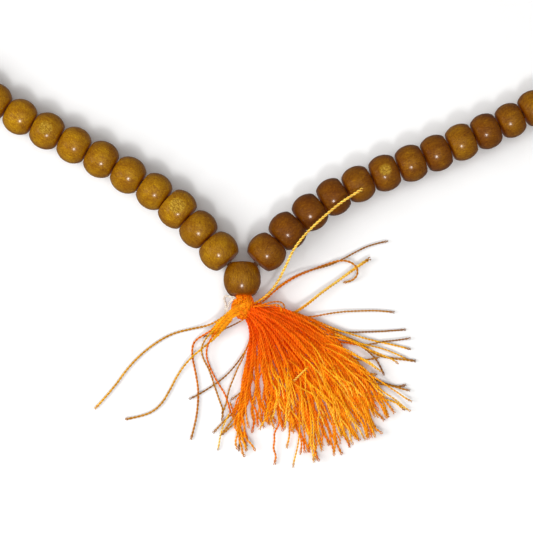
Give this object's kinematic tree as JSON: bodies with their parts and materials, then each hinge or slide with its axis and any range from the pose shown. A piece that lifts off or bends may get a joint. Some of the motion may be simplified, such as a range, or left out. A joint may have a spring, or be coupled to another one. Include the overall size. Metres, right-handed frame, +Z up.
{
  "type": "mala prayer beads",
  "caption": "Loop of round wooden prayer beads on one cord, closed by a guru bead with a thread tassel; beads turn, the loop flexes and the tassel swings and lifts.",
  "frame": {"origin": "on the table, under the middle of the box round the beads and the tassel", "axes": "+Z up from the table; +Y from the tassel and guru bead to the far side of the loop; +X to the right seen from the tassel"},
  "size_m": [0.2204, 0.272, 0.0091],
  "materials": {
    "bead_wood": "thin clear lacquer over close-grained reddish-brown hardwood",
    "guru_wood": "thin clear lacquer over close-grained reddish-brown hardwood",
    "stringing_cord": "plied cotton string",
    "white_string": "plied cotton string",
    "head_thread": "glossy two-ply thread, packed tight",
    "skirt_thread": "glossy two-ply thread",
    "loose_thread": "glossy two-ply thread"
  },
  "bodies": {
    "guru": {"guru_bead": "guru_wood", "guru_cord": "stringing_cord"},
    "strand_left_1": {"cord_left_1": "stringing_cord"},
    "strand_left_2": {"cord_left_2": "stringing_cord"},
    "strand_left_3": {"cord_left_3": "stringing_cord", "beads_left_3": "bead_wood"},
    "strand_left_4": {"cord_left_4": "stringing_cord", "beads_left_4": "bead_wood"},
    "strand_left_5": {"cord_left_5": "stringing_cord", "beads_left_5": "bead_wood"},
    "strand_left_6": {"cord_left_6": "stringing_cord", "beads_left_6": "bead_wood"},
    "strand_right_1": {"cord_right_1": "stringing_cord"},
    "strand_right_2": {"cord_right_2": "stringing_cord"},
    "strand_right_3": {"cord_right_3": "stringing_cord", "beads_right_3": "bead_wood"},
    "strand_right_4": {"cord_right_4": "stringing_cord", "beads_right_4": "bead_wood"},
    "strand_right_5": {"cord_right_5": "stringing_cord", "beads_right_5": "bead_wood"},
    "strand_right_6": {"cord_right_6": "stringing_cord", "beads_right_6": "bead_wood"},
    "counting_left_01": {"bead_left_01": "bead_wood"},
    "counting_left_02": {"bead_left_02": "bead_wood"},
    "counting_left_03": {"bead_left_03": "bead_wood"},
    "counting_left_04": {"bead_left_04": "bead_wood"},
    "counting_left_05": {"bead_left_05": "bead_wood"},
    "counting_left_06": {"bead_left_06": "bead_wood"},
    "counting_left_07": {"bead_left_07": "bead_wood"},
    "counting_left_08": {"bead_left_08": "bead_wood"},
    "counting_left_09": {"bead_left_09": "bead_wood"},
    "counting_left_10": {"bead_left_10": "bead_wood"},
    "counting_right_01": {"bead_right_01": "bead_wood"},
    "counting_right_02": {"bead_right_02": "bead_wood"},
    "counting_right_03": {"bead_right_03": "bead_wood"},
    "counting_right_04": {"bead_right_04": "bead_wood"},
    "counting_right_05": {"bead_right_05": "bead_wood"},
    "counting_right_06": {"bead_right_06": "bead_wood"},
    "counting_right_07": {"bead_right_07": "bead_wood"},
    "counting_right_08": {"bead_right_08": "bead_wood"},
    "counting_right_09": {"bead_right_09": "bead_wood"},
    "counting_right_10": {"bead_right_10": "bead_wood"},
    "counting_right_11": {"bead_right_11": "bead_wood"},
    "counting_right_12": {"bead_right_12": "bead_wood"},
    "tassel_top": {"tassel_head": "head_thread", "tassel_stem": "stringing_cord", "string_tail": "white_string", "thread_left_outer": "loose_thread", "thread_left_middle": "loose_thread", "thread_left_inner": "loose_thread", "thread_over_strand": "loose_thread", "threads_left": "loose_thread"},
    "tassel_threads": {"tassel_skirt": "skirt_thread", "thread_hooked": "loose_thread", "thread_branch": "loose_thread", "threads_right": "loose_thread"}
  },
  "joints": [
    {"name": "loop_squeeze", "type": "hinge", "parent": "guru", "child": "strand_left_1", "pos_m": [-0.0069, -0.09343, 0.004], "axis": [0, 0, -1], "range_deg": [-5, 4]},
    {"name": "tassel_swing", "type": "hinge", "parent": "guru", "child": "tassel_top", "pos_m": [-0.004, -0.1013, 0.004], "axis": [0, 0, 1], "range_deg": [-30, 6]},
    {"name": "tassel_lift", "type": "hinge", "parent": "tassel_top", "child": "tassel_threads", "pos_m": [-0.0041, -0.1039, 0.0036], "axis": [-0.6975, -0.7165, 0], "range_deg": [0, 70]},
    {"name": "strand_left_bend_2", "type": "hinge", "parent": "strand_left_1", "child": "strand_left_2", "pos_m": [-0.02557, -0.07609, 0.004], "axis": [0, 0, 1], "range_deg": [-1.91, 1.53]},
    {"name": "strand_left_bend_3", "type": "hinge", "parent": "strand_left_2", "child": "strand_left_3", "pos_m": [-0.06014, -0.05623, 0.004], "axis": [0, 0, 1], "range_deg": [-1.18, 0.95]},
    {"name": "strand_left_bend_4", "type": "hinge", "parent": "strand_left_3", "child": "strand_left_4", "pos_m": [-0.09959, -0.00609, 0.004], "axis": [0, 0, 1], "range_deg": [-2.19, 1.76]},
    {"name": "strand_left_bend_5", "type": "hinge", "parent": "strand_left_4", "child": "strand_left_5", "pos_m": [-0.098, 0.06965, 0.004], "axis": [0, 0, 1], "range_deg": [-3.29, 2.64]},
    {"name": "strand_left_bend_6", "type": "hinge", "parent": "strand_left_5", "child": "strand_left_6", "pos_m": [-0.04622, 0.12471, 0.004], "axis": [0, 0, 1], "range_deg": [-1.12, 1.4]},
    {"name": "strand_right_bend_1", "type": "hinge", "parent": "guru", "child": "strand_right_1", "pos_m": [-0.00086, -0.09343, 0.004], "axis": [0, 0, 1], "range_deg": [-4.7, 3.76]},
    {"name": "strand_right_bend_2", "type": "hinge", "parent": "strand_right_1", "child": "strand_right_2", "pos_m": [0.01813, -0.07767, 0.004], "axis": [0, 0, 1], "range_deg": [-1.33, 1.66]},
    {"name": "strand_right_bend_3", "type": "hinge", "parent": "strand_right_2", "child": "strand_right_3", "pos_m": [0.06131, -0.05821, 0.004], "axis": [0, 0, 1], "range_deg": [-0.65, 0.81]},
    {"name": "strand_right_bend_4", "type": "hinge", "parent": "strand_right_3", "child": "strand_right_4", "pos_m": [0.09974, -0.01424, 0.004], "axis": [0, 0, 1], "range_deg": [-1.93, 2.41]},
    {"name": "strand_right_bend_5", "type": "hinge", "parent": "strand_right_4", "child": "strand_right_5", "pos_m": [0.1018, 0.05591, 0.004], "axis": [0, 0, 1], "range_deg": [-2.34, 2.92]},
    {"name": "strand_right_bend_6", "type": "hinge", "parent": "strand_right_5", "child": "strand_right_6", "pos_m": [0.07082, 0.1058, 0.004], "axis": [0, 0, 1], "range_deg": [-0.49, 0.6]},
    {"name": "turn_left_01", "type": "hinge", "parent": "strand_left_1", "child": "counting_left_01", "pos_m": [-0.009, -0.09089, 0.00425], "axis": [-0.6497, 0.7602, 0], "continuous": true},
    {"name": "turn_left_02", "type": "hinge", "parent": "strand_left_1", "child": "counting_left_02", "pos_m": [-0.01337, -0.08614, 0.00415], "axis": [-0.7025, 0.7117, 0], "continuous": true},
    {"name": "turn_left_03", "type": "hinge", "parent": "strand_left_1", "child": "counting_left_03", "pos_m": [-0.01785, -0.08179, 0.00425], "axis": [-0.7487, 0.6629, 0], "continuous": true},
    {"name": "turn_left_04", "type": "hinge", "parent": "strand_left_1", "child": "counting_left_04", "pos_m": [-0.02285, -0.07787, 0.004], "axis": [-0.8226, 0.5687, 0], "continuous": true},
    {"name": "turn_left_05", "type": "hinge", "parent": "strand_left_2", "child": "counting_left_05", "pos_m": [-0.02844, -0.07428, 0.004], "axis": [-0.8519, 0.5237, 0], "continuous": true},
    {"name": "turn_left_06", "type": "hinge", "parent": "strand_left_2", "child": "counting_left_06", "pos_m": [-0.03427, -0.07088, 0.004], "axis": [-0.8743, 0.4853, 0], "continuous": true},
    {"name": "turn_left_07", "type": "hinge", "parent": "strand_left_2", "child": "counting_left_07", "pos_m": [-0.04013, -0.06773, 0.00395], "axis": [-0.8825, 0.4702, 0], "continuous": true},
    {"name": "turn_left_08", "type": "hinge", "parent": "strand_left_2", "child": "counting_left_08", "pos_m": [-0.04596, -0.06463, 0.004], "axis": [-0.8844, 0.4668, 0], "continuous": true},
    {"name": "turn_left_09", "type": "hinge", "parent": "strand_left_2", "child": "counting_left_09", "pos_m": [-0.05177, -0.06151, 0.0039], "axis": [-0.8697, 0.4936, 0], "continuous": true},
    {"name": "turn_left_10", "type": "hinge", "parent": "strand_left_2", "child": "counting_left_10", "pos_m": [-0.05741, -0.05808, 0.004], "axis": [-0.8366, 0.5478, 0], "continuous": true},
    {"name": "turn_right_01", "type": "hinge", "parent": "strand_right_1", "child": "counting_right_01", "pos_m": [0.00126, -0.09104, 0.0042], "axis": [0.6734, 0.7393, 0], "continuous": true},
    {"name": "turn_right_02", "type": "hinge", "parent": "strand_right_1", "child": "counting_right_02", "pos_m": [0.00572, -0.08649, 0.00415], "axis": [0.7207, 0.6932, 0], "continuous": true},
    {"name": "turn_right_03", "type": "hinge", "parent": "strand_right_1", "child": "counting_right_03", "pos_m": [0.01052, -0.08245, 0.00405], "axis": [0.8049, 0.5934, 0], "continuous": true},
    {"name": "turn_right_04", "type": "hinge", "parent": "strand_right_1", "child": "counting_right_04", "pos_m": [0.01554, -0.07908, 0.00405], "axis": [0.8621, 0.5067, 0], "continuous": true},
    {"name": "turn_right_05", "type": "hinge", "parent": "strand_right_2", "child": "counting_right_05", "pos_m": [0.0209, -0.07628, 0.00395], "axis": [0.901, 0.4338, 0], "continuous": true},
    {"name": "turn_right_06", "type": "hinge", "parent": "strand_right_2", "child": "counting_right_06", "pos_m": [0.02655, -0.07384, 0.00395], "axis": [0.9334, 0.3589, 0], "continuous": true},
    {"name": "turn_right_07", "type": "hinge", "parent": "strand_right_2", "child": "counting_right_07", "pos_m": [0.03221, -0.07171, 0.004], "axis": [0.9311, 0.3646, 0], "continuous": true},
    {"name": "turn_right_08", "type": "hinge", "parent": "strand_right_2", "child": "counting_right_08", "pos_m": [0.03768, -0.06945, 0.00395], "axis": [0.9175, 0.3978, 0], "continuous": true},
    {"name": "turn_right_09", "type": "hinge", "parent": "strand_right_2", "child": "counting_right_09", "pos_m": [0.04306, -0.06707, 0.004], "axis": [0.9132, 0.4076, 0], "continuous": true},
    {"name": "turn_right_10", "type": "hinge", "parent": "strand_right_2", "child": "counting_right_10", "pos_m": [0.04841, -0.06466, 0.00385], "axis": [0.9113, 0.4117, 0], "continuous": true},
    {"name": "turn_right_11", "type": "hinge", "parent": "strand_right_2", "child": "counting_right_11", "pos_m": [0.05366, -0.06224, 0.00375], "axis": [0.8997, 0.4366, 0], "continuous": true},
    {"name": "turn_right_12", "type": "hinge", "parent": "strand_right_2", "child": "counting_right_12", "pos_m": [0.05877, -0.05961, 0.0039], "axis": [0.8787, 0.4773, 0], "continuous": true}
  ],
  "couplings": [
    {"joint": "strand_left_bend_2", "follows": "loop_squeeze", "ratio": 0.38},
    {"joint": "strand_left_bend_3", "follows": "loop_squeeze", "ratio": 0.2339},
    {"joint": "strand_left_bend_4", "follows": "loop_squeeze", "ratio": 0.437},
    {"joint": "strand_left_bend_5", "follows": "loop_squeeze", "ratio": 0.6569},
    {"joint": "strand_left_bend_6", "follows": "loop_squeeze", "ratio": -0.278},
    {"joint": "strand_right_bend_1", "follows": "loop_squeeze", "ratio": 0.9373},
    {"joint": "strand_right_bend_2", "follows": "loop_squeeze", "ratio": -0.329},
    {"joint": "strand_right_bend_3", "follows": "loop_squeeze", "ratio": -0.159},
    {"joint": "strand_right_bend_4", "follows": "loop_squeeze", "ratio": -0.4794},
    {"joint": "strand_right_bend_5", "follows": "loop_squeeze", "ratio": -0.5824},
    {"joint": "strand_right_bend_6", "follows": "loop_squeeze", "ratio": -0.1189}
  ]
}
